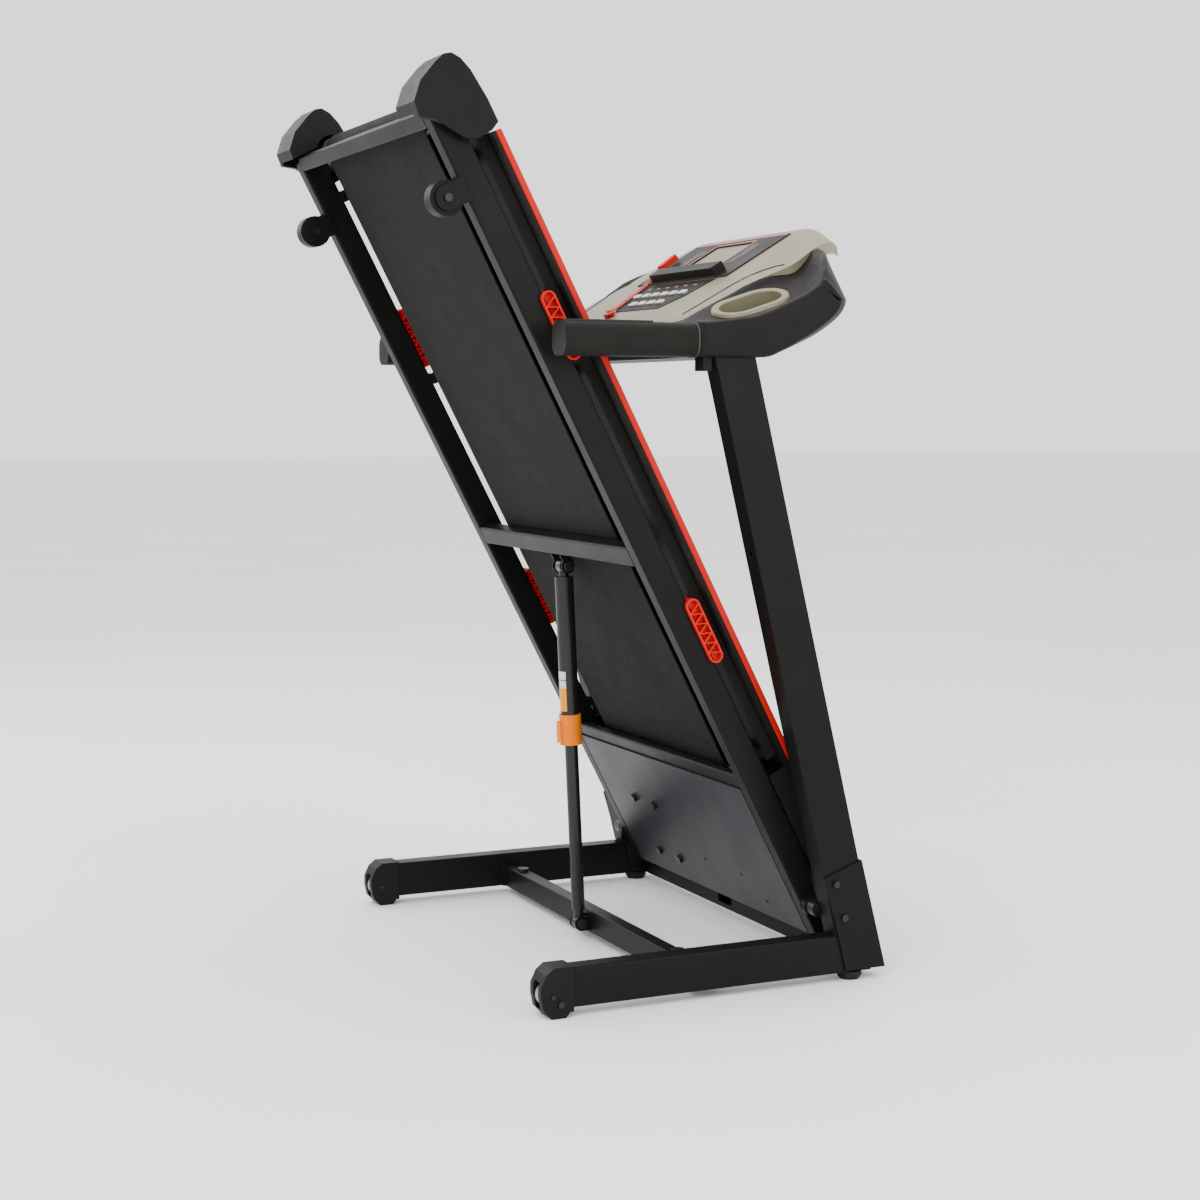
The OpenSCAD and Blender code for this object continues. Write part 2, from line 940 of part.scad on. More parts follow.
// Side rail with its pivot boss, wheel fork, roller blocks and belt-guard tabs
module deck_rail() {
    on_deck()
        difference() {
            union() {
                along(-deck_len, -pan_front)
                    translate([deck_half - deck_rail_w / 2, under + deck_rail_h / 2])
                        tube_section(deck_rail_w, deck_rail_h);
                rod(deck_half - wall, deck_half + 12, 14);
                for (x = [deck_in - 3, deck_half - 0.5]) {
                    rod(x, x + fork_t, fork_r, -wheel_s, wheel_n);
                    translate([x, -wheel_s - fork_r, wheel_n])
                        cube([fork_t, 2 * fork_r, under + 6 - wheel_n]);
                }
                translate([deck_in + 2, -front_roller_s - 15, deck_top - 1])
                    cube([12, 30, roller_n - deck_top + 11]);
                translate([deck_in + 2, -rear_roller_s - 12, deck_top - 6])
                    cube([12, rear_roller_s + 12 - board_s[1] - 2, roller_n - deck_top + 16]);
                for (s = bracket_s)
                    translate([deck_in - 14, -s - bracket_w / 2, deck_top - 2]) {
                        cube([30, bracket_w, 2]);
                        cube([2, bracket_w, 16]);
                    }
            }
            rod(deck_half - deck_rail_w / 2, deck_half + 13, pin_r + fit);
            for (s = [front_roller_s, rear_roller_s])
                rod(deck_in - 10, deck_half - 8, shaft_r + fit, -s, roller_n);
            rod(deck_in - 5, deck_half + 5, axle_r, -wheel_s, wheel_n);
        }
}

module deck_rail_left() {
    color("#33312f")
        placed()
            side(false)
                deck_rail();
}

module deck_rail_right() {
    color("#33312f")
        placed()
            side(true)
                deck_rail();
}

// Cross tubes at the tail and behind the motor pan
module deck_crossbars() {
    color("#4a4744")
        placed()
            on_deck()
                across(-deck_in, deck_in) {
                    translate([-tail_bar_s - tail_bar_w / 2, under + bar_h / 2])
                        tube_section(tail_bar_w, bar_h);
                    translate([-pan_tail - gap - 11, under + 8])
                        tube_section(22, 12);
                }
}

// Middle cross tube, with the two cheeks that take the strut's head
module mid_crossbar() {
    color("#33312f")
        placed()
            on_deck() {
                across(-deck_in, deck_in)
                    translate([-mid_bar_s - mid_bar_w / 2, under + bar_h / 2])
                        tube_section(mid_bar_w, bar_h);
                both_sides()
                    difference() {
                        union() {
                            rod(cheek_in, cheek_in + plate, 11, -strut_s, strut_n);
                            translate([cheek_in, seam - mid_bar_s, strut_n - 4])
                                cube([plate, mid_bar_s - strut_s - seam, 15]);
                        }
                        rod(cheek_in - 1, cheek_in + plate + 1, 5, -strut_s, strut_n);
                    }
            }
}

module running_board() {
    color("#4b453f")
        placed()
            on_deck()
                translate([-board_half, -board_s[1], board_n])
                    cube([2 * board_half, board_s[1] - board_s[0], board_t]);
}

// Walking belt: a loop round both rollers and the board
module running_belt() {
    r_in = roller_r + gap;
    pitch = rear_roller_s - front_roller_s;
    middle = (rear_roller_s + front_roller_s) / 2;
    color("#3b3735")
        placed()
            on_deck()
                across(-belt_w / 2, belt_w / 2)
                    translate([-middle, roller_n])
                        difference() {
                            stadium(pitch + 2 * (r_in + belt_t), 2 * (r_in + belt_t));
                            stadium(pitch + 2 * r_in, 2 * r_in);
                        }
}

// Foot rail: a ribbed tread over the belt's edge, with a bead along the outside
module foot_rail() {
    tread = board_n + board_t;
    on_deck()
        along(-trim_s[1], -trim_s[0]) {
            translate([208, tread])
                square([96, 6]);
            for (i = [0:6])
                translate([214 + 12 * i, tread + 6 - eps])
                    square([6, 2.5]);
            translate([300, 54])
                square([8, foot_top - 54]);
            translate([300, 54])
                square([14, 5.5]);
        }
}

module foot_rail_left() {
    color("#2b2a2a")
        placed()
            side(false)
                foot_rail();
}

module foot_rail_right() {
    color("#2b2a2a")
        placed()
            side(true)
                foot_rail();
}

module red_trims() {
    color("#dc3b31")
        placed()
            both_sides()
                on_deck()
                    along(-trim_s[1], -trim_s[0])
                        translate([311.5, 64])
                            rounded_rect(7, 9, 2);
}

module tail_cap() {
    on_deck()
        difference() {
            across(cap_x[0], cap_x[1])
                polygon(deck_points(tail_cap_outline));
            across(cap_x[0] + 4, cap_x[1] - 4)
                polygon(deck_points(tail_cap_inner));
            translate([cap_x[0] - 1, -1208, -40])
                cube([cap_x[1] - cap_x[0] - 3, 60, 101.5]);
            rod(cap_x[0] - 1, cap_x[0] + 5, roller_r + 5, -rear_roller_s, roller_n);
            translate([cap_x[0] - 1, -1234, under - 20])
                cube([deck_half - cap_x[0] + 3, 60, 20 + deck_rail_h]);
        }
}

module tail_caps() {
    color("#43413e")
        placed()
            both_sides()
                tail_cap();
}

// Rubber cushion between rail and board, with a zigzag web in its recessed ends
module cushion() {
    h = board_n - cushion_low;
    ends = [deck_in, deck_half + 6];
    lean_angle = atan(web_pitch / (h - 2 * cushion_rim));
    module web_pockets() {
        difference() {
            stadium(cushion_len - 2 * cushion_rim, h - 2 * cushion_rim);
            for (i = [0:web_count - 1])
                translate([(i - (web_count - 1) / 2) * web_pitch, 0])
                    rotate(i % 2 == 0 ? lean_angle : -lean_angle)
                        square([web_t, 2 * h], center = true);
        }
    }
    translate([0, 0, cushion_low + h / 2])
        difference() {
            across(ends[0], ends[1])
                stadium(cushion_len, h);
            across(ends[0] - 1, ends[0] + pocket_depth)
                web_pockets();
            across(ends[1] - pocket_depth, ends[1] + 1)
                web_pockets();
            translate([deck_in - 1, -cushion_len, -30])
                cube([deck_rail_w + 1 + gap, 2 * cushion_len, 30 + deck_top - cushion_low - h / 2]);
        }
}

module deck_cushions() {
    color("#dc3b31")
        placed()
            both_sides()
                on_deck()
                    for (s = cushion_s)
                        translate([0, -s, 0])
                            cushion();
}

// Wheel axles, motor bolts and the heads of the strut's upper bolt
module deck_bolts() {
    color("#4d4b49")
        placed()
            on_deck() {
                both_sides() {
                    rod(deck_in - 3, deck_half + 3, axle_r, -wheel_s, wheel_n);
                    rod(deck_half + 3, deck_half + 6, 5.5, -wheel_s, wheel_n);
                    rod(cheek_in + plate, cheek_in + plate + 6, 8, -strut_s, strut_n);
                }
                for (p = motor_bolts)
                    translate([p[0], -p[1], under - 5])
                        cylinder(h = 5, r = 7);
            }
}

module deck_wheel() {
    mid = deck_half - deck_rail_w / 2;
    on_deck()
        difference() {
            rod(mid - wheel_w / 2 + gap, mid + wheel_w / 2 - gap, wheel_r, -wheel_s, wheel_n);
            rod(mid - wheel_w, mid + wheel_w, axle_r + fit, -wheel_s, wheel_n);
        }
}

module deck_wheel_left() {
    color("#262524")
        placed()
            side(false)
                deck_wheel();
}

module deck_wheel_right() {
    color("#262524")
        placed()
            side(true)
                deck_wheel();
}

// Sheet-metal tray under the motor
module motor_pan() {
    half = deck_in - 1;
    color("#4f4e55")
        placed()
            on_deck()
                difference() {
                    union() {
                        translate([-half, -pan_tail, under])
                            cube([2 * half, pan_tail - pan_front, 2]);
                        for (s = [pan_front, pan_tail - 2])
                            translate([-half, -s - 2, under])
                                cube([2 * half, 2, 14]);
                    }
                    for (p = [[12, 16.5], [129, 16.5], [179, -20]])
                        translate([p[0], -p[1], under - 1])
                            cylinder(h = 4, r = 3);
                    for (p = motor_bolts)
                        translate([p[0], -p[1], under - 1])
                            cylinder(h = 4, r = 4);
                }
}

// Cover of the motor bay, with the mains inlet in its front
module motor_hood() {
    color("#252424")
        placed()
            on_deck()
                difference() {
                    union() {
                        difference() {
                            across(-hood_half, hood_half)
                                polygon(deck_points(hood_outline));
                            across(-hood_half + 3, hood_half - 3)
                                polygon(deck_points(hood_inner));
                        }
                        translate([inlet_x - 17, 38, inlet_n - 13])
                            cube([34, 13, 26]);
                    }
                    difference() {
                        translate([inlet_x - 13.5, 42, inlet_n - 10])
                            cube([27, 20, 20]);
                        for (p = [[-7, 2], [7, 2], [0, -4]])
                            translate([inlet_x + p[0] - 1, 41, inlet_n + p[1] - 2])
                                cube([2, 8, 4]);
                    }
                }
}

// Motor body on its foot plate
module drive_motor() {
    color("#5a5a5e")
        placed()
            on_deck()
                difference() {
                    union() {
                        rod(motor_x[0], motor_x[1], motor_r, -motor_s, motor_n);
                        translate([motor_x[0] + 8, -motor_s - 20, under + 6])
                            cube([motor_x[1] - motor_x[0] - 16, 40, 20]);
                        translate([motor_x[0] + 8, -motor_s - 62, under + 2])
                            cube([motor_x[1] - motor_x[0] - 16, 124, 4]);
                    }
                    rod(motor_x[0] - 1, motor_x[1] + 1, shaft_r + fit, -motor_s, motor_n);
                }
}

// Belt round two pulleys of different size, in the plane of their centres
module belt_loop(r1, r2, pitch) {
    hull() {
        circle(r = r1, $fn = 32);
        translate([-pitch, 0])
            circle(r = r2, $fn = 32);
    }
}

module drive_belt() {
    pitch = front_roller_s - motor_s;
    tilt = atan2(motor_n - roller_n, pitch);
    color("#232222")
        placed()
            on_deck()
                across(pulley_x[0] + 2, pulley_x[1] - 2)
                    translate([-motor_s, motor_n])
                        rotate(tilt)
                            difference() {
                                belt_loop(small_pulley_r + 3.6, large_pulley_r + 3.6,
                                    norm([pitch, motor_n - roller_n]));
                                belt_loop(small_pulley_r + 0.6, large_pulley_r + 0.6,
                                    norm([pitch, motor_n - roller_n]));
                            }
}

module front_roller() {
    color("#8d8d8f")
        placed()
            on_deck() {
                rod(-roller_half, roller_half, roller_r, -front_roller_s, roller_n);
                rod(-deck_in - 12, deck_in + 12, shaft_r, -front_roller_s, roller_n);
                rod(pulley_x[0], pulley_x[1], large_pulley_r, -front_roller_s, roller_n);
            }
}

module rear_roller() {
    color("#8d8d8f")
        placed()
            on_deck() {
                rod(-roller_half - 18, roller_half + 18, roller_r, -rear_roller_s, roller_n);
                rod(-deck_in - 12, deck_in + 12, shaft_r, -rear_roller_s, roller_n);
            }
}

// Motor shaft with its pulley and, on the other end, the fan
module motor_rotor() {
    color("#9a9a9c")
        placed()
            on_deck() {
                rod(pulley_x[0], motor_x[1] + 26, shaft_r, -motor_s, motor_n);
                rod(pulley_x[0], pulley_x[1], small_pulley_r, -motor_s, motor_n);
                rod(motor_x[1] + 4, motor_x[1] + 20, motor_r - 4, -motor_s, motor_n);
            }
}

// ---- folding strut ----

module strut_lower() {
    color("#45423f")
        placed()
            on_strut() {
                difference() {
                    union() {
                        rod(-eye_half, eye_half, eye_r);
                        translate([0, 0, 6])
                            cylinder(h = 16, r = 7.5);
                    }
                    rod(-eye_half - 1, eye_half + 1, 5 + fit);
                }
                translate([0, 0, 22])
                    cylinder(h = strut_lower_len - 22, r = strut_lower_r);
            }
}

module strut_upper() {
    color("#2f2d2b")
        placed()
            on_strut()
                difference() {
                    union() {
                        translate([0, 0, strut_len - strut_upper_len])
                            cylinder(h = strut_upper_len - 16, r = strut_upper_r);
                        translate([0, 0, strut_len - 17])
                            cylinder(h = 12, r = 7.5);
                        rod(-eye_half, eye_half, eye_r, 0, strut_len);
                        rod(-cheek_in + 0.5, cheek_in - 0.5, 5, 0, strut_len);
                    }
                    translate([0, 0, strut_len - strut_upper_len - 1])
                        cylinder(h = strut_upper_len - 20, r = strut_upper_r - 2);
                }
}

// Release collar on the upper tube's mouth, which guides the lower tube
module strut_collar() {
    mouth = strut_len - strut_upper_len;
    color("#f0a01c")
        placed()
            on_strut()
                difference() {
                    union() {
                        translate([0, 0, mouth - 8])
                            cylinder(h = collar_len, r = strut_upper_r + 2.5);
                        translate([-7, -strut_upper_r - 6, mouth - 4])
                            cube([14, 8, collar_len - 14]);
                    }
                    translate([0, 0, mouth])
                        cylinder(h = collar_len, r = strut_upper_r);
                    translate([0, 0, mouth - 9])
                        cylinder(h = 20, r = strut_lower_r + fit);
                }
}

base_rail_left();
base_rail_right();
rear_crossbar();
front_crossbar();
rail_end_caps();
base_wheel_left();
base_wheel_right();
base_bolts();
rubber_feet();
upright_boots();
upright_left();
upright_right();
pivot_pins();
console_frame();
handgrip_left();
handgrip_right();
console_shell();
console_fascia();
display_bezel();
lcd_panel();
control_board();
cup_holders();
key_panel();
start_key();
stop_key();
faster_key();
slower_key();
preset_key_1();
preset_key_2();
preset_key_3();
preset_key_4();
preset_key_5();
preset_key_6();
safety_key();
lanyard_cord();
lanyard_clip();
deck_rail_left();
deck_rail_right();
deck_crossbars();
mid_crossbar();
running_board();
running_belt();
foot_rail_left();
foot_rail_right();
red_trims();
tail_caps();
deck_cushions();
deck_bolts();
deck_wheel_left();
deck_wheel_right();
motor_pan();
motor_hood();
drive_motor();
drive_belt();
front_roller();
rear_roller();
motor_rotor();
strut_lower();
strut_upper();
strut_collar();
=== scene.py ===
"""Looks of the folding treadmill: materials, small trim and the lanyard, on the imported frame."""
import math

import bmesh
import bpy
from mathutils import Matrix, Vector


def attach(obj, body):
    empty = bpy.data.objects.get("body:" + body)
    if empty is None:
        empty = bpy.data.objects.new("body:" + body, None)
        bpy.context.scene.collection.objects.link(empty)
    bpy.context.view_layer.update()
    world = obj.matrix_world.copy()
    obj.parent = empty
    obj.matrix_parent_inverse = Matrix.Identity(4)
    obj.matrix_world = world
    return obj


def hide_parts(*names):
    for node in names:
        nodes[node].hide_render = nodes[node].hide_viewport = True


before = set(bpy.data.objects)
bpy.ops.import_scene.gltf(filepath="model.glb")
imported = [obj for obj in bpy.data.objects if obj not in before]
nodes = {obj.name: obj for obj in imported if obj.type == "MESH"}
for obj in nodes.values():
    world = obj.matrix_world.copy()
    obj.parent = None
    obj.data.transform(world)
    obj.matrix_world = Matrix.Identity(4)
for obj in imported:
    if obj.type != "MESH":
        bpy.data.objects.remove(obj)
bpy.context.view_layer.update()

# ---- places taken from the design, in metres ----
FRAME_Y = -0.015655
FACE_TOP = Vector((0.0, 0.318 + FRAME_Y, 1.063))
FACE_SLOPE = math.radians(31.2)
STRUT_FOOT = Vector((0.0, 0.044 + FRAME_Y, 0.027))
STRUT_LEAN = math.radians(2.824)
# Height of the hand grips' top, in mm
GRIP_TOP = 920
# Lanyard: each point is across the face, up the face, and height over it, in millimetres
LANYARD = [(-72, -223, 8), (-75, -214, 5.5), (-80, -203, 3), (-85, -187, 3), (-90, -170, 3),
           (-95, -153, 3), (-99, -138, 3.5), (-102, -126, 5), (-104, -117, 6.5), (-107, -110, 8),
           (-111, -107, 8.5), (-115, -110, 8), (-114, -117, 6.5), (-111, -126, 5), (-107, -139, 3.5),
           (-103, -154, 3), (-99, -170, 3), (-94, -186, 3), (-88, -200, 3.5), (-83, -210, 4.5),
           (-79, -217, 5.5), (-77, -223, 8)]
LANYARD_D = 0.003


def design(x, y, z):
    """Point given in the design's own frame, in mm."""
    return Vector((x / 1000, y / 1000 + FRAME_Y, z / 1000))


def on_face(x, s, h=0.0):
    """Point on the console's face: x across, s up the slope from the display's top, h over it, in mm."""
    up = Vector((0.0, math.cos(FACE_SLOPE), math.sin(FACE_SLOPE)))
    out = Vector((0.0, -math.sin(FACE_SLOPE), math.cos(FACE_SLOPE)))
    return FACE_TOP + Vector((x / 1000, 0.0, 0.0)) + up * s / 1000 + out * h / 1000


def on_strut(x, y, z):
    """Point in the strut's frame, whose origin is its lower pivot, in mm."""
    turn = Matrix.Rotation(STRUT_LEAN, 3, "X")
    return STRUT_FOOT + turn @ Vector((x, y, z)) / 1000


def on_grip(x, y, h):
    """Point over the top of the hand grips, in mm."""
    return design(x, y, GRIP_TOP + h)


# ---- camera ----

# Fitted to the photo's straight edges: lens in mm, shift, yaw, pitch and roll in degrees, and place
LENS = 62.813
LENS_SHIFT = (-0.00648, -0.03955)
CAMERA_TURN = (24.9043, 3.9288, 0.1739)
CAMERA_PLACE = Vector((2.86042, -1.23778 + FRAME_Y, 0.80513))


def add_camera():
    data = bpy.data.cameras.new("camera")
    data.sensor_width = 36.0
    data.lens = LENS
    data.shift_x, data.shift_y = LENS_SHIFT
    camera = bpy.data.objects.new("camera", data)
    bpy.context.scene.collection.objects.link(camera)
    yaw, pitch, roll = (math.radians(a) for a in CAMERA_TURN)
    ahead = Vector((-math.cos(yaw) * math.cos(pitch), math.sin(yaw) * math.cos(pitch), -math.sin(pitch)))
    level = Vector((math.sin(yaw), math.cos(yaw), 0.0))
    rise = level.cross(ahead)
    right = level * math.cos(roll) + rise * math.sin(roll)
    up = rise * math.cos(roll) - level * math.sin(roll)
    turn = Matrix((right, up, -ahead)).transposed().to_4x4()
    camera.matrix_world = Matrix.Translation(CAMERA_PLACE) @ turn
    bpy.context.scene.camera = camera


# ---- lights and floor ----

def area_light(name, place, aim, size, power, colour=(1.0, 1.0, 1.0)):
    data = bpy.data.lights.new(name, "AREA")
    data.shape = "RECTANGLE"
    data.size, data.size_y = size
    data.energy = power
    data.color = colour
    lamp = bpy.data.objects.new(name, data)
    bpy.context.scene.collection.objects.link(lamp)
    lamp.location = place
    lamp.rotation_euler = (Vector(aim) - Vector(place)).to_track_quat("-Z", "Y").to_euler()


def add_studio():
    area_light("key_light", (2.6, -2.6, 3.2), (0.0, 0.0, 0.6), (2.2, 2.2), 120.0, (1.0, 0.985, 0.96))
    area_light("side_light", (3.4, 1.6, 1.8), (0.0, 0.1, 0.6), (1.8, 2.4), 50.0, (0.96, 0.98, 1.0))
    area_light("top_light", (-0.3, 0.2, 3.6), (0.0, 0.0, 0.5), (3.0, 3.0), 70.0)
    area_light("back_light", (-2.8, -1.4, 2.4), (0.0, 0.0, 0.7), (2.0, 2.4), 45.0)
    world = bpy.data.worlds.new("studio")
    bpy.context.scene.world = world
    world.use_nodes = True
    back = world.node_tree.nodes["Background"]
    back.inputs["Color"].default_value = (1.0, 1.0, 1.0, 1.0)
    back.inputs["Strength"].default_value = 1.7


FLOOR_HALF = 30.0


def add_floor():
    mesh = bpy.data.meshes.new("floor")
    build = bmesh.new()
    bmesh.ops.create_grid(build, x_segments=1, y_segments=1, size=FLOOR_HALF)
    build.to_mesh(mesh)
    build.free()
    floor = bpy.data.objects.new("floor", mesh)
    bpy.context.scene.collection.objects.link(floor)
    floor.data.materials.append(floor_paint())


# ---- material building ----

class Paint:
    """A node material with one Principled shader, built from small steps."""

    def __init__(self, name, roughness=0.5, metallic=0.0, coat=0.0, specular=0.5):
        self.material = bpy.data.materials.new(name)
        self.material.use_nodes = True
        self.tree = self.material.node_tree
        self.shader = self.tree.nodes["Principled BSDF"]
        self.shader.inputs["Roughness"].default_value = roughness
        self.shader.inputs["Metallic"].default_value = metallic
        self.shader.inputs["Coat Weight"].default_value = coat
        self.shader.inputs["Specular IOR Level"].default_value = specular
        self.place = self.add("ShaderNodeTexCoord").outputs["Object"]
        self.normal = None

    def add(self, kind, **values):
        node = self.tree.nodes.new(kind)
        for key, value in values.items():
            setattr(node, key, value)
        return node

    def link(self, source, target):
        self.tree.links.new(source, target)

    def noise(self, scale, detail=3.0, roughness=0.5, stretch=(1.0, 1.0, 1.0)):
        grid = self.add("ShaderNodeMapping")
        grid.inputs["Scale"].default_value = stretch
        self.link(self.place, grid.inputs["Vector"])
        node = self.add("ShaderNodeTexNoise")
        node.inputs["Scale"].default_value = scale
        node.inputs["Detail"].default_value = detail
        node.inputs["Roughness"].default_value = roughness
        self.link(grid.outputs["Vector"], node.inputs["Vector"])
        return node.outputs["Fac"]

    def waves(self, scale, direction):
        node = self.add("ShaderNodeTexWave", wave_type="BANDS", bands_direction=direction)
        node.inputs["Scale"].default_value = scale
        self.link(self.place, node.inputs["Vector"])
        return node.outputs["Fac"]

    def ramp(self, factor, stops):
        node = self.add("ShaderNodeValToRGB")
        while len(node.color_ramp.elements) < len(stops):
            node.color_ramp.elements.new(0.5)
        for element, (spot, colour) in zip(node.color_ramp.elements, stops):
            element.position = spot
            element.color = (*colour, 1.0)
        self.link(factor, node.inputs["Fac"])
        return node.outputs["Color"]

    def span(self, factor, low, high):
        """Spreads a noise, which lies mostly between 0.3 and 0.7, from low to high."""
        node = self.add("ShaderNodeMapRange")
        node.inputs["From Min"].default_value = 0.3
        node.inputs["From Max"].default_value = 0.7
        node.inputs["To Min"].default_value = low
        node.inputs["To Max"].default_value = high
        self.link(factor, node.inputs["Value"])
        return node.outputs["Result"]

    def multiply(self, first, second):
        node = self.add("ShaderNodeMath", operation="MULTIPLY")
        self.link(first, node.inputs[0])
        self.link(second, node.inputs[1])
        return node.outputs["Value"]

    def mix(self, factor, first, second):
        node = self.add("ShaderNodeMix", data_type="RGBA")
        self.link(factor, node.inputs["Factor"])
        self.link(first, node.inputs["A"])
        self.link(second, node.inputs["B"])
        return node.outputs["Result"]

    def colour(self, source):
        self.link(source, self.shader.inputs["Base Color"])

    def rough(self, source):
        self.link(source, self.shader.inputs["Roughness"])

    def round_edges(self, radius):
        node = self.add("ShaderNodeBevel", samples=4)
        node.inputs["Radius"].default_value = radius
        self.normal = node.outputs["Normal"]
        self.link(self.normal, self.shader.inputs["Normal"])

    def bump(self, height, depth, strength=1.0):
        node = self.add("ShaderNodeBump")
        node.inputs["Strength"].default_value = strength
        node.inputs["Distance"].default_value = depth
        self.link(height, node.inputs["Height"])
        if self.normal is not None:
            self.link(self.normal, node.inputs["Normal"])
        self.normal = node.outputs["Normal"]
        self.link(self.normal, self.shader.inputs["Normal"])


def shade(colour, factor):
    """Colour made darker or lighter."""
    return tuple(min(1.0, c * factor) for c in colour)


# A moulded or painted surface has a slow drift in tone and gloss, and a fine grain. Each row gives its
# colour, the contrast and scale of the drift, its range of roughness, the scale and depth of the grain, the
# radius of its edges, and the shader values that aren't plain
FINISHES = {
    "frame_coat": ((0.0062, 0.0058, 0.0055), 0.10, 6.0, (0.34, 0.42), 700.0, 0.00004, 0.0018,
                   {"specular": 0.08}),
    "pan_coat": ((0.016, 0.0153, 0.0210), 0.07, 5.0, (0.36, 0.44), 800.0, 0.00003, 0.0012,
                 {"specular": 0.18}),
    "black_plastic": ((0.0080, 0.0074, 0.0064), 0.10, 12.0, (0.42, 0.52), 2600.0, 0.00005, 0.0016,
                      {"specular": 0.08}),
    "bezel_plastic": ((0.012, 0.0100, 0.0100), 0.06, 10.0, (0.40, 0.48), 2400.0, 0.00002, 0.002,
                      {"specular": 0.08}),
    "pad_plastic": ((0.020, 0.021, 0.018), 0.08, 12.0, (0.45, 0.55), 2400.0, 0.00003, 0.0012,
                    {"specular": 0.2}),
    "ring_plastic": ((0.032, 0.031, 0.028), 0.06, 20.0, (0.4, 0.5), 2400.0, 0.00002, 0.0008,
                     {"specular": 0.3}),
    "silver_lacquer": ((0.195, 0.180, 0.112), 0.03, 7.0, (0.34, 0.42), 4000.0, 0.00001, 0.003,
                       {"metallic": 0.2, "specular": 0.3}),
    "key_lacquer": ((0.60, 0.585, 0.54), 0.05, 60.0, (0.26, 0.34), 2500.0, 0.00002, 0.0014,
                    {"metallic": 0.3, "coat": 0.2}),
    "red_trim": ((0.42, 0.004, 0.002), 0.05, 10.0, (0.40, 0.50), 1500.0, 0.00002, 0.0012,
                 {"specular": 0.12}),
    "cushion_rubber": ((0.52, 0.006, 0.006), 0.08, 20.0, (0.5, 0.62), 2200.0, 0.00005, 0.0008,
                       {"specular": 0.12}),
    "collar_plastic": ((0.72, 0.17, 0.0), 0.06, 16.0, (0.40, 0.5), 1800.0, 0.00002, 0.0016,
                       {"specular": 0.05}),
    "grip_foam": ((0.0095, 0.0088, 0.0076), 0.14, 14.0, (0.5, 0.62), 1500.0, 0.00018, 0.002,
                  {"specular": 0.08}),
    "black_rubber": ((0.010, 0.0095, 0.009), 0.15, 22.0, (0.6, 0.72), 1500.0, 0.00008, 0.0012,
                     {"specular": 0.15}),
    "drive_rubber": ((0.02, 0.02, 0.02), 0.2, 40.0, (0.5, 0.6), 1500.0, 0.00006, 0.0006, {}),
    "grey_wheel": ((0.25, 0.245, 0.235), 0.08, 25.0, (0.42, 0.5), 1800.0, 0.00004, 0.001, {}),
    "bolt_steel": ((0.020, 0.019, 0.018), 0.15, 40.0, (0.30, 0.42), 3000.0, 0.00002, 0.0006,
                   {"metallic": 0.7}),
    "strut_coat": ((0.0085, 0.0082, 0.008), 0.08, 18.0, (0.26, 0.32), 900.0, 0.000006, 0.0003,
                   {"specular": 0.3}),
    "motor_enamel": ((0.11, 0.11, 0.115), 0.08, 14.0, (0.36, 0.46), 1500.0, 0.00003, 0.001, {}),
    "pale_print": ((0.20, 0.19, 0.185), 0.06, 30.0, (0.35, 0.45), 2400.0, 0.00001, 0.0003, {}),
    "rose_print": ((0.50, 0.13, 0.12), 0.08, 40.0, (0.4, 0.5), 2400.0, 0.00001, 0.0003,
                   {"specular": 0.2}),
}
# Scale of the drift in gloss, over that of the drift in tone
GLOSS_SCALE = 2.3
# The strut label's stripes, laid out as the rows above
LABEL_FINISH = (0.04, 30.0, (0.35, 0.45), 2400.0, 0.00001, 0.0003, {"specular": 0.15})


def speckled(name, colour, contrast, scale, roughness, grain, depth, edge, shader):
    """Moulded or painted surface, from the values of one row."""
    paint = Paint(name, **shader)
    drift = paint.noise(scale, 5.0, 0.6)
    paint.colour(paint.ramp(drift, [(0.3, shade(colour, 1 - contrast)), (0.7, shade(colour, 1 + contrast))]))
    paint.rough(paint.span(paint.noise(scale * GLOSS_SCALE, 4.0), *roughness))
    paint.round_edges(edge)
    paint.bump(paint.noise(grain, 2.0), depth)
    return paint


made = {}


def finish(name):
    """Material of one of the rows above, made once."""
    if name not in made:
        made[name] = speckled(name, *FINISHES[name]).material
    return made[name]


def floor_paint():
    """Pale studio floor with a very slow drift in tone."""
    paint = Paint("floor_paint", roughness=0.62, specular=0.2)
    paint.colour(paint.ramp(paint.noise(1.3, 2.0), [(0.3, (0.86, 0.86, 0.86)), (0.7, (0.89, 0.89, 0.89))]))
    return paint.material


def bright_steel():
    """Turned steel: the marks run round the rollers, so they vary across the machine."""
    paint = Paint("turned_steel", metallic=1.0)
    marks = paint.noise(900.0, 3.0, 0.6, (1.0, 0.02, 0.02))
    paint.colour(paint.ramp(marks, [(0.35, (0.42, 0.42, 0.42)), (0.65, (0.60, 0.60, 0.61))]))
    paint.rough(paint.span(marks, 0.22, 0.36))
    paint.round_edges(0.0006)
    return paint.material


def belt_rubber():
    """Walking belt: woven and mottled."""
    paint = Paint("belt_weave", specular=0.06)
    cloud = paint.noise(16.0, 6.0, 0.65)
    thread = paint.noise(420.0, 2.0, 0.5, (1.0, 0.35, 0.35))
    tone = paint.ramp(cloud, [(0.30, (0.0082, 0.0068, 0.0063)), (0.70, (0.0155, 0.0132, 0.0124))])
    dark = paint.ramp(thread, [(0.35, (0.0052, 0.0044, 0.0042)), (0.65, (0.0165, 0.0140, 0.0132))])
    half = paint.span(paint.noise(7.0), 0.35, 0.6)
    paint.colour(paint.mix(half, tone, dark))
    paint.rough(paint.span(cloud, 0.62, 0.75))
    weft = paint.waves(520.0, "X")
    warp = paint.waves(520.0, "Z")
    paint.bump(paint.multiply(weft, warp), 0.00025, 0.6)
    return paint.material


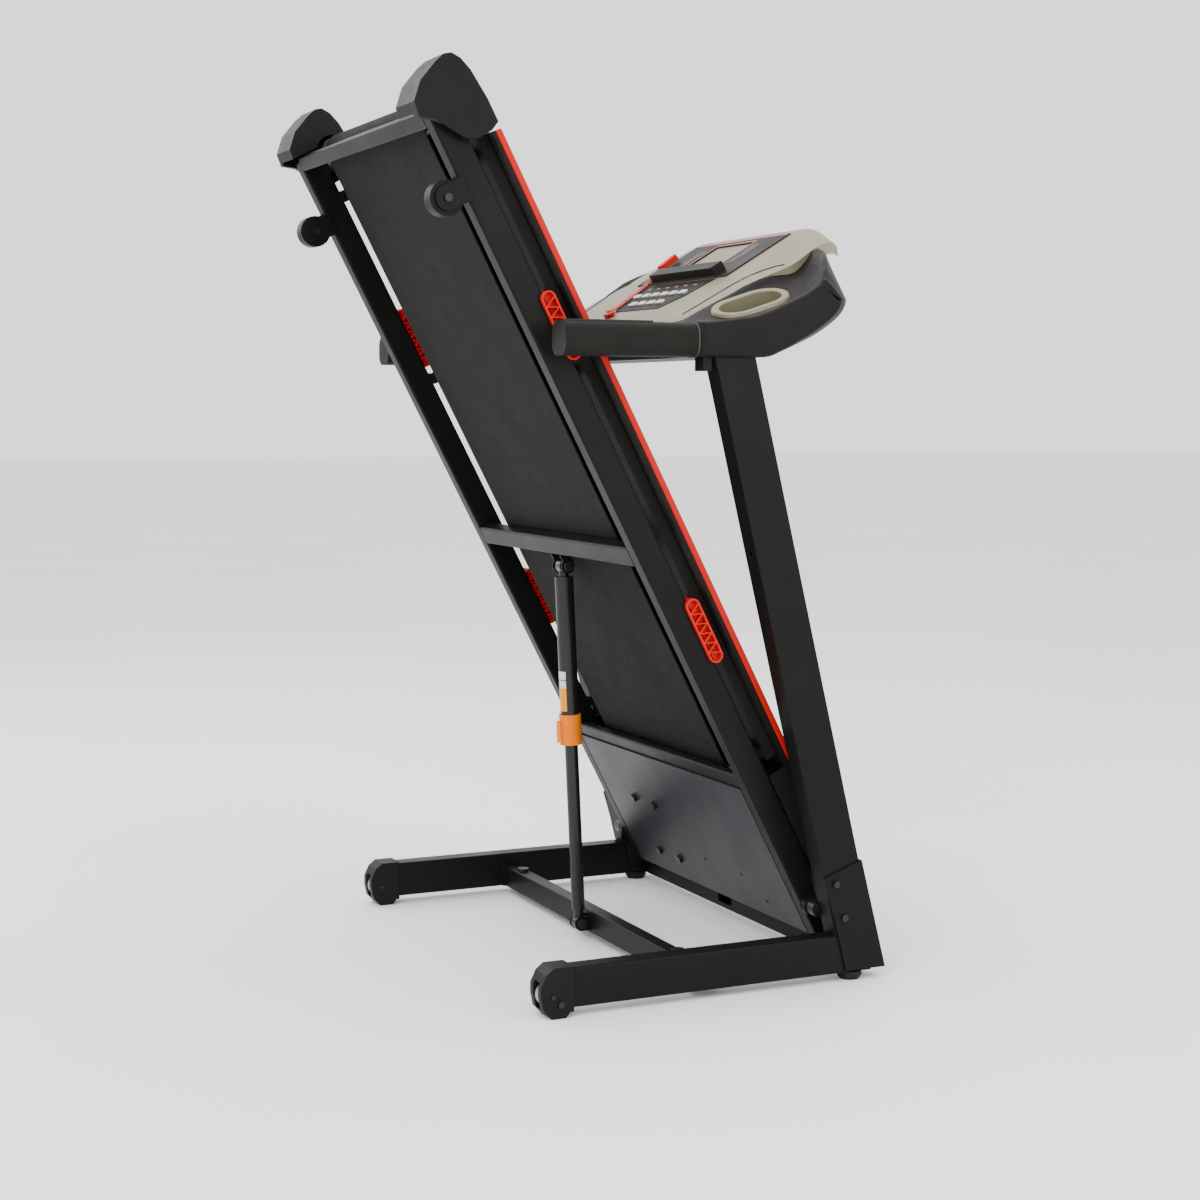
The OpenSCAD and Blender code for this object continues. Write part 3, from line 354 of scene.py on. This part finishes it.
def deck_board():
    """Underside of the running board, with a long grain."""
    paint = Paint("deck_board", specular=0.12)
    grain = paint.noise(30.0, 6.0, 0.7, (1.0, 0.15, 0.15))
    paint.colour(paint.ramp(grain, [(0.3, (0.0085, 0.0080, 0.0075)), (0.7, (0.014, 0.013, 0.012))]))
    paint.rough(paint.span(grain, 0.55, 0.7))
    paint.bump(paint.noise(900.0), 0.00005)
    return paint.material


def motor_enamel():
    """Grey enamel over the motor's ribbed case."""
    paint = speckled("motor_enamel", *FINISHES["motor_enamel"])
    paint.bump(paint.waves(55.0, "X"), 0.0012, 0.5)
    return paint.material


def circuit_board():
    """Green board with paler tracks."""
    paint = Paint("circuit_board")
    tracks = paint.noise(260.0, 1.0, 0.3)
    paint.colour(paint.ramp(tracks, [(0.46, (0.012, 0.085, 0.032)), (0.54, (0.025, 0.16, 0.06))]))
    paint.rough(paint.span(tracks, 0.3, 0.5))
    return paint.material


def display_window():
    """Unlit display: a grey-pink film with a slow drift in tone."""
    paint = Paint("display_window", specular=0.4)
    film = paint.noise(14.0, 2.0)
    paint.colour(paint.ramp(film, [(0.3, (0.40, 0.315, 0.295)), (0.7, (0.48, 0.385, 0.36))]))
    paint.rough(paint.span(film, 0.10, 0.18))
    return paint.material


def cord_braid():
    """Braided cord cover: slanting threads with an uneven sheen."""
    paint = Paint("cord_braid", specular=0.25)
    threads = paint.waves(420.0, "DIAGONAL")
    sheen = paint.noise(1400.0, 2.0)
    paint.colour(paint.ramp(threads, [(0.2, (0.50, 0.060, 0.045)), (0.8, (0.72, 0.16, 0.12))]))
    paint.rough(paint.span(sheen, 0.7, 0.85))
    paint.bump(threads, 0.0003, 0.8)
    return paint.material


# ---- mesh helpers ----

def new_piece(name, mesh, body, material, smooth=False):
    """Adds a mesh as a piece that rides on a CAD body and takes the given material."""
    piece = bpy.data.objects.new(name, mesh)
    bpy.context.scene.collection.objects.link(piece)
    piece.data.materials.append(material)
    if smooth:
        for face in mesh.polygons:
            face.use_smooth = True
    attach(piece, body)
    return piece


def fill_between(build, low, high, closed):
    """Faces between two rows of vertices."""
    count = len(low)
    for i in range(count if closed else count - 1):
        j = (i + 1) % count
        build.faces.new((low[i], low[j], high[j], high[i]))


def close_mesh(build, mesh):
    """Turns the faces outwards and writes the mesh."""
    bmesh.ops.recalc_face_normals(build, faces=build.faces)
    build.to_mesh(mesh)
    build.free()


def plate(name, outline, place, low, high, body, slot, material):
    """A flat plate: outline points (a, b), between heights low and high, put in place by place(a, b, h)."""
    mesh = bpy.data.meshes.new(name)
    build = bmesh.new()
    floor = [build.verts.new(place(a, b, low)) for a, b in outline]
    roof = [build.verts.new(place(a, b, high)) for a, b in outline]
    build.faces.new(floor)
    build.faces.new(roof)
    fill_between(build, floor, roof, closed=True)
    close_mesh(build, mesh)
    return new_piece(name, mesh, body, material)


def tube_curve(name, points, radius, body, material):
    """Round cord along a row of points."""
    data = bpy.data.curves.new(name, "CURVE")
    data.dimensions = "3D"
    data.bevel_depth = radius
    data.bevel_resolution = 3
    data.use_fill_caps = True
    spline = data.splines.new("POLY")
    spline.points.add(len(points) - 1)
    for point, place in zip(spline.points, points):
        point.co = (*place, 1.0)
    piece = bpy.data.objects.new(name, data)
    bpy.context.scene.collection.objects.link(piece)
    piece.data.materials.append(material)
    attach(piece, body)
    return piece


def smooth_route(points, steps=4):
    """Catmull-Rom curve through points."""
    ends = [points[0] * 2 - points[1], *points, points[-1] * 2 - points[-2]]
    route = []
    for a, b, c, d in zip(ends, ends[1:], ends[2:], ends[3:]):
        for k in range(steps):
            t = k / steps
            bend = (b * 2 + (c - a) * t + (a * 2 - b * 5 + c * 4 - d) * t * t
                    + (b * 3 - a - c * 3 + d) * t * t * t)
            route.append(bend / 2)
    route.append(points[-1])
    return route


def add_loft(name, rows, body, material, closed=False, caps=False):
    """Skin through rows of points. closed joins each row's ends; caps fills the first and last row."""
    mesh = bpy.data.meshes.new(name)
    build = bmesh.new()
    grid = [[build.verts.new(p) for p in row] for row in rows]
    for low, high in zip(grid, grid[1:]):
        fill_between(build, low, high, closed)
    if caps:
        build.faces.new(grid[0])
        build.faces.new(grid[-1])
    close_mesh(build, mesh)
    return new_piece(name, mesh, body, material, smooth=True)


def weave(rows, steps):
    """Catmull-Rom between rows of points, so that a few rows make a smooth skin."""
    columns = [smooth_route([Vector(row[i]) for row in rows], steps) for i in range(len(rows[0]))]
    return [[column[k] for column in columns] for k in range(len(columns[0]))]


# ---- pieces ----

# Sections of a wing: across, how far forward its belly reaches, and its top line as (forward, up), in mm
WING_SECTIONS = [
    (206, 321, [(52, 905), (84, 909), (115, 925), (141, 938), (172, 953), (205, 969), (225, 977),
                (252, 987), (277, 1002), (298, 1014)]),
    (236, 322, [(52, 914), (84, 918), (115, 934), (141, 947), (172, 962), (205, 978), (225, 986),
                (252, 996), (277, 1012), (300, 1026)]),
    (250, 321, [(52, 921), (84, 927), (115, 943), (141, 956), (172, 971), (205, 987), (225, 994),
                (252, 1003), (277, 1019), (301, 1034)]),
    (262, 319, [(52, 922), (84, 929), (115, 944), (141, 953), (172, 963), (205, 975), (230, 985),
                (255, 999), (278, 1017), (298, 1034)]),
    (275, 317, [(52, 922), (84, 929), (115, 940), (141, 948), (172, 958), (205, 969), (232, 978),
                (255, 993), (276, 1013), (294, 1031)]),
    (300, 312, [(52, 922), (84, 925), (115, 933), (141, 942), (172, 952), (205, 962), (232, 971),
                (252, 985), (269, 1005), (284, 1025)]),
    (325, 304, [(52, 922), (84, 923), (115, 927), (141, 935), (172, 945), (205, 956), (228, 964),
                (244, 978), (258, 997), (270, 1015)]),
    (340, 297, [(52, 922), (84, 923), (115, 926), (141, 932), (172, 941), (205, 953), (225, 961),
                (239, 973), (251, 989), (262, 1006)]),
    (355, 287, [(52, 922), (84, 924), (115, 927), (141, 932), (172, 943), (205, 957), (221, 964),
                (233, 973), (244, 984), (253, 996)]),
    (368, 274, [(52, 921), (84, 924), (115, 928), (141, 932), (172, 943), (203, 957), (216, 963),
                (228, 970), (238, 977), (245, 984)]),
]
# Front of a section, from its tip down to its belly, as shares of the way forward and of the way down
WING_FRONT = [(0.29, 0.18), (0.62, 0.49), (0.91, 0.836), (1.0, 1.0)]
BELLY = (286, 955)
# Underside of a section: (forward, up), and the share of the belly's shift that it follows
WING_UNDER = [(280, 941, 1.0), (266, 927, 0.95), (244, 912, 0.9), (222, 900, 0.8), (180, 882, 0.4),
              (151, 875, 0.0), (100, 874.5, 0.0), (52, 875, 0.0)]
# Rounded end of a wing: across, and how far the last section has drawn in, in mm
WING_END = [(369.8, 0.5), (371.4, 1.4), (372.8, 2.7), (374.0, 4.6), (374.7, 6.8), (375.0, 9.5)]
CUP = design(300, 168, 948)
CUP_TILT = math.radians(18)
CUP_ROLL = math.radians(14)
# Well of a cup holder, in mm: half the distance between its round ends' centres, and the cutter's half width
# and heights
CUP_MIDDLE = 19
CUTTER_HALF = 32.5
CUTTER_HEIGHTS = (-120, 50)
# Rim of a cup holder from its inner to its outer edge: half width and height, in mm
RIM = [(28.5, -6), (29, 3), (30.5, 6), (33.5, 7.5), (36.5, 7), (38.5, 5), (39.5, 1)]


def wing_outline(belly, top):
    """Closed outline of one section of a wing, as (forward, up) points."""
    tip = top[-1]
    front = [(tip[0] + (belly - tip[0]) * f, tip[1] + (BELLY[1] - tip[1]) * d) for f, d in WING_FRONT]
    under = [(y + (belly - BELLY[0]) * share, z) for y, z, share in WING_UNDER]
    return [*top, *front, *under]


def inset(outline, depth):
    """Moves a closed outline inwards."""
    moved = []
    count = len(outline)
    for i in range(count):
        before, here, after = (Vector(outline[k % count]) for k in (i - 1, i, i + 1))
        along = (after - before).normalized()
        moved.append(tuple(here + Vector((along.y, -along.x)) * depth))
    return moved


def on_cup(sign, x, y, height):
    """Point in the tilted frame of one cup well, in mm."""
    turn = Matrix.Rotation(CUP_TILT, 3, "X") @ Matrix.Rotation(CUP_ROLL, 3, "Y")
    place = CUP + turn @ Vector((x, y, height)) / 1000
    return Vector((sign * place.x, place.y, place.z))


def cup_cutter(sign):
    """Solid of the cup well's outline, a little larger than the well."""
    outline = []
    for start, middle in ((0, CUP_MIDDLE), (180, -CUP_MIDDLE)):
        for k in range(13):
            angle = math.radians(start + 15 * k)
            outline.append((CUTTER_HALF * math.cos(angle), middle + CUTTER_HALF * math.sin(angle)))
    mesh = bpy.data.meshes.new("cup_cutter")
    build = bmesh.new()
    low, high = ([build.verts.new(on_cup(sign, x, y, h)) for x, y in outline] for h in CUTTER_HEIGHTS)
    fill_between(build, low, high, closed=True)
    build.faces.new(low)
    build.faces.new(high)
    close_mesh(build, mesh)
    cutter = bpy.data.objects.new("cup_cutter", mesh)
    bpy.context.scene.collection.objects.link(cutter)
    return cutter


def add_wing(sign, material):
    """Black wing with its dish, and the hole for the cup holder."""
    sections = [[Vector((x, *p)) for p in wing_outline(belly, top)] for x, belly, top in WING_SECTIONS]
    last = wing_outline(*WING_SECTIONS[-1][1:])
    skin = weave(sections, 4) + [[Vector((x, *p)) for p in inset(last, depth)] for x, depth in WING_END]
    rows = [[design(sign * p.x, p.y, p.z) for p in smooth_route(row)] for row in skin]
    side = "right" if sign > 0 else "left"
    wing = add_loft("console_wing_" + side, rows, "base", material, closed=True, caps=True)
    cutter = cup_cutter(sign)
    cut = wing.modifiers.new("cup", "BOOLEAN")
    cut.operation = "DIFFERENCE"
    cut.solver = "EXACT"
    cut.object = cutter
    bpy.context.view_layer.update()
    drawn = wing.evaluated_get(bpy.context.evaluated_depsgraph_get())
    holed = bpy.data.meshes.new_from_object(drawn)
    wing.modifiers.remove(cut)
    wing.data = holed
    bpy.data.objects.remove(cutter)
    return wing


# Silver face by distance up the slope: half its width, where its shoulder starts, and its edge's drop
FACE_SHAPE = [(-266, 250, 222, 1), (-160, 250, 222, 3), (-125, 251, 205, 8), (-104, 255, 180, 11),
              (-92, 262, 172, 12), (-80, 268, 168, 12), (-66, 267, 166, 12), (-50, 261, 165, 12),
              (-17, 241, 162, 16), (14, 218, 160, 26), (35, 196, 158, 31)]
# Points across the face, as shares of half its width
FACE_SHARES = [0, 0.25, 0.5, 0.62, 0.70, 0.76, 0.81, 0.85, 0.88, 0.91, 0.935, 0.955, 0.972, 0.987, 1.0]
# Middle line of the face: up the slope, and height over its plane, in mm
FACE_LINE = [(-266, -14), (-264, -8), (-259, -3), (-253, -0.6), (-245, 0), (-225, 0), (-200, 0), (-175, 0),
             (-160, 0), (-145, 0), (-130, 0), (-115, 0), (-100, 0), (-95, 0), (-90, 0), (-86, 0), (-82, 0),
             (-74, 0), (-62, 0), (-50, 0), (-38, 0), (-25, 0), (-12, 0), (0, 0), (10, -0.4), (18, -2),
             (25, -5.5), (29, -11)]
# Front side under the face's top edge: forward, up and half width, in mm
FACE_FRONT = [(350, 1036, 204), (343, 1016, 210), (324, 990, 214), (286, 950, 216)]
# The front side sweeps back by this much of the width beyond this share of it
SWEEP = 0.45
SWEEP_START = 0.75
# The face's hem from its edge: inwards, forward and up, in metres
HEM = (0.002, 0.004, -0.016)
# Bottom of the console between the wings, as (forward, up), and half its width, in mm
TRAY = [(50, 874.5), (151, 875), (180, 882), (222, 900), (244, 912), (262, 925), (284, 946), (250, 946),
        (130, 912), (90, 908), (50, 908)]
TRAY_HALF = 240


def face_shape(s):
    """Half width, shoulder start and edge drop of the silver face at one place up the slope."""
    for low, high in zip(FACE_SHAPE, FACE_SHAPE[1:]):
        if s <= high[0]:
            t = (s - low[0]) / (high[0] - low[0])
            return [a + (b - a) * t for a, b in zip(low[1:], high[1:])]
    return FACE_SHAPE[-1][1:]


def fascia_height(x, s):
    """Height over the face's plane: flat in the middle, rolling down to the wings at the sides."""
    half, start, drop = face_shape(s)
    share = max(0.0, (abs(x) - start) / (half - start))
    return -drop * min(1.0, share) ** 1.7


def add_fascia(material):
    """Silver face of the console, from its rear lip over the top edge and down its front side."""
    across = [-share for share in reversed(FACE_SHARES[1:])] + FACE_SHARES
    rows = []
    for s, height in FACE_LINE:
        half = face_shape(s)[0]
        rows.append([on_face(a * half, s, fascia_height(a * half, s) + height) for a in across])
    hems = [[row[end] for row in rows] for end in (0, -1)]
    for y, z, half in FACE_FRONT:
        rows.append([design(a * half, y - SWEEP * max(0.0, abs(a) - SWEEP_START) * half, z) for a in across])
    face = add_loft("console_face", rows, "base", material)
    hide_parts("console_fascia")
    inwards, forward, up = HEM
    for side, sign, line in zip(("left", "right"), (1, -1), hems):
        under = [p + Vector((sign * inwards, forward, up)) for p in line]
        add_loft("console_hem_" + side, [line, under], "base", material)


def add_tray(material):
    """Bottom of the console between the wings."""
    rows = [[design(x, y, z) for y, z in TRAY] for x in (-TRAY_HALF, TRAY_HALF)]
    tray = add_loft("console_tray", rows, "base", material, closed=True, caps=True)
    for face in tray.data.polygons:
        face.use_smooth = False


def add_lanyard():
    route = smooth_route([on_face(*p) for p in LANYARD])
    cord = tube_curve("lanyard", route, LANYARD_D / 2, "safety_plug", cord_braid())
    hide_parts("lanyard_cord")


# Finish of each CAD node that has a speckled one
NODE_FINISH = {
    "frame_coat": ["base_rail_left", "base_rail_right", "rear_crossbar", "front_crossbar", "upright_boots",
                   "upright_left", "upright_right", "console_frame", "deck_rail_left", "deck_rail_right",
                   "deck_crossbars", "mid_crossbar"],
    "black_plastic": ["rail_end_caps", "console_shell", "tail_caps", "motor_hood", "foot_rail_left",
                      "foot_rail_right", "deck_wheel_left", "deck_wheel_right", "key_panel"],
    "silver_lacquer": ["console_fascia", "cup_holders"],
    "red_trim": ["red_trims", "safety_key", "lanyard_clip"],
    "grip_foam": ["handgrip_left", "handgrip_right"],
    "key_lacquer": ["start_key", "stop_key", "faster_key", "slower_key", "preset_key_1", "preset_key_2",
                    "preset_key_3", "preset_key_4", "preset_key_5", "preset_key_6"],
    "black_rubber": ["rubber_feet"],
    "bolt_steel": ["base_bolts", "deck_bolts", "pivot_pins"],
    "strut_coat": ["strut_lower", "strut_upper"],
    "grey_wheel": ["base_wheel_left", "base_wheel_right"],
    "collar_plastic": ["strut_collar"],
    "cushion_rubber": ["deck_cushions"],
    "drive_rubber": ["drive_belt"],
    "pan_coat": ["motor_pan"],
    "bezel_plastic": ["display_bezel"],
}


def paint_nodes():
    """Gives each CAD node its finish."""
    finishes = [(finish(name), names) for name, names in NODE_FINISH.items()]
    finishes += [
        (bright_steel(), ["front_roller", "rear_roller", "motor_rotor"]),
        (belt_rubber(), ["running_belt"]),
        (deck_board(), ["running_board"]),
        (motor_enamel(), ["drive_motor"]),
        (circuit_board(), ["control_board"]),
        (display_window(), ["lcd_panel"]),
    ]
    for material, names in finishes:
        for name in names:
            mesh = nodes[name].data
            mesh.materials.clear()
            mesh.materials.append(material)


# Printed lines round the display, as (left, right, low, high) on the face, in mm
DISPLAY_LINES = {
    "low": (-64, 64, -89, -86.5), "high": (-64, 64, -12.5, -10), "left": (-64, -61.5, -86.5, -12.5),
    "right": (61.5, 64, -86.5, -12.5), "top": (-146, 146, -4, -1.5),
}
# Heights over the face of the print on the bezel and on the key field, in mm
LINE_HEIGHTS = (1.8, 2.3)
CHEVRON_HEIGHTS = (1.8, 2.2)
MARK_HEIGHTS = (0.8, 1.3)
# Chevrons beside the display: start and width of each, and the ends of its two arms as (outwards, up)
CHEVRONS = [(76, 2.8), (88, 2.1)]
CHEVRON_ARMS = [((0, -80), (6, -52)), ((6, -52), (0, -24))]
# Marks over the upper row of keys
KEY_COUNT = 6
KEY_PITCH = 30.5
KEY_SHIFT = 5
MARK_HALF = 5
MARK_LINES = (-146, -143)


def box_outline(left, right, low, high):
    return [(left, low), (right, low), (right, high), (left, high)]


def add_display_trim():
    """Printed lines and chevrons on the display's bezel, and the marks over the keys."""
    rose = finish("rose_print")
    pale = finish("pale_print")
    for name, edges in DISPLAY_LINES.items():
        outline = box_outline(*edges)
        plate("display_line_" + name, outline, on_face, *LINE_HEIGHTS, "base", "red_plastic", rose)
    for side, label in ((-1, "left"), (1, "right")):
        for k, (start, width) in enumerate(CHEVRONS):
            for part, arm in enumerate(CHEVRON_ARMS):
                (x0, s0), (x1, s1) = ((side * (start + out), s) for out, s in arm)
                outline = [(x0, s0), (x0 + side * width, s0), (x1 + side * width, s1), (x1, s1)]
                name = "display_chevron_%s_%d_%d" % (label, k, part)
                plate(name, outline, on_face, *CHEVRON_HEIGHTS, "base", "silver_plastic", pale)
    for k in range(KEY_COUNT):
        x = KEY_SHIFT + (k - (KEY_COUNT - 1) / 2) * KEY_PITCH
        outline = box_outline(x - MARK_HALF, x + MARK_HALF, *MARK_LINES)
        plate("key_mark_%d" % (k + 1), outline, on_face, *MARK_HEIGHTS, "base", "red_plastic", rose)


def rim_ring(sign, half, height):
    """Ring of points round a cup well."""
    ring = []
    for k in range(48):
        angle = math.tau * k / 48
        middle = CUP_MIDDLE if math.sin(angle) >= 0 else -CUP_MIDDLE
        ring.append(on_cup(sign, half * math.cos(angle), middle + half * math.sin(angle), height))
    return ring


def add_cup_rims(material):
    for sign, side in ((-1, "left"), (1, "right")):
        rows = [rim_ring(sign, half, height) for half, height in RIM]
        add_loft("cup_rim_" + side, rows, "base", material, closed=True)


# Hand grips, in mm: their middle line, their half width and the radius of their corners' flat
GRIP_X = 352
GRIP_Z = 897
GRIP_HALF = 23
GRIP_FLAT = 7
# Pad on a grip: its radius, and for each round end its centre and the angle it starts from
PAD_R = 11
PAD_ENDS = [(-20, 0), (-128, 180)]
PAD_HEIGHTS = (-0.5, 1.8)
# Joint ring: how far forward, and how far out from the grip's surface
RING = [(49.0, -1), (49.2, 0.6), (51.2, 0.6), (51.4, -1)]


def grip_ring(sign, y, grow):
    """Ring of points round a grip, whose section is a square with round corners."""
    corner = GRIP_HALF + grow - GRIP_FLAT
    ring = []
    for k in range(48):
        angle = math.tau * k / 48
        x = (GRIP_FLAT if math.cos(angle) > 0 else -GRIP_FLAT) + corner * math.cos(angle)
        z = (GRIP_FLAT if math.sin(angle) > 0 else -GRIP_FLAT) + corner * math.sin(angle)
        ring.append(design(sign * GRIP_X + x, y, GRIP_Z + z))
    return ring


def add_grip_trim():
    """Flat pad on each hand grip, and the joint ring where the grip meets the wing."""
    pad_paint = finish("pad_plastic")
    ring_paint = finish("ring_plastic")
    for sign, side in ((-1, "left"), (1, "right")):
        outline = []
        for middle, start in PAD_ENDS:
            for k in range(9):
                angle = math.radians(start + 22.5 * k)
                outline.append((sign * GRIP_X + PAD_R * math.cos(angle), middle + PAD_R * math.sin(angle)))
        plate("grip_pad_" + side, outline, on_grip, *PAD_HEIGHTS, "base", "black_plastic", pad_paint)
        rows = [grip_ring(sign, y, grow) for y, grow in RING]
        add_loft("grip_ring_" + side, rows, "base", ring_paint, closed=True)


# Strut label: its radius, its ends as angles, and each stripe's ends along the strut and colour
LABEL_R = 14.15
LABEL_ANGLES = range(-60, 51, 10)
LABEL = [("orange", 326, 361, (0.72, 0.26, 0.0)), ("white", 361, 372, (0.55, 0.56, 0.50)),
         ("green", 372, 374, (0.05, 0.20, 0.06)), ("top", 374, 386, (0.55, 0.56, 0.50))]


def add_strut_label():
    """Plain coloured label on the strut's upper tube, just over the collar."""
    turns = [math.radians(a) for a in LABEL_ANGLES]
    for name, low, high, colour in LABEL:
        paint = speckled("label_" + name, colour, *LABEL_FINISH).material
        rows = [[on_strut(LABEL_R * math.sin(a), -LABEL_R * math.cos(a), z) for a in turns]
                for z in (low, high)]
        add_loft("strut_label_" + name, rows, "strut_sleeve", paint)


# Joint line beside the silver face: across and up the face, its height over it and its radius, in mm
SEAM = [(200, -240), (206, -215), (213, -180), (219, -150), (226, -120), (236, -98), (252, -87)]
SEAM_HEIGHT = 0.2
SEAM_R = 0.9


def add_seam_lines(material):
    """Dark joint line along each side of the silver face."""
    for sign, side in ((-1, "left"), (1, "right")):
        route = smooth_route([on_face(sign * x, s, fascia_height(x, s) + SEAM_HEIGHT) for x, s in SEAM])
        tube_curve("face_seam_" + side, route, SEAM_R / 1000, "base", material)


def add_console():
    """Smooth skins over the console's CAD shells, and their trim."""
    plastic = finish("black_plastic")
    silver = finish("silver_lacquer")
    right_wing = add_wing(1, plastic)
    add_wing(-1, plastic)
    add_tray(plastic)
    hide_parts("console_shell")
    add_fascia(silver)
    add_cup_rims(silver)
    add_seam_lines(finish("bezel_plastic"))
    add_display_trim()
    add_grip_trim()


add_camera()
add_lanyard()
add_studio()
add_floor()
paint_nodes()
add_console()
add_strut_label()
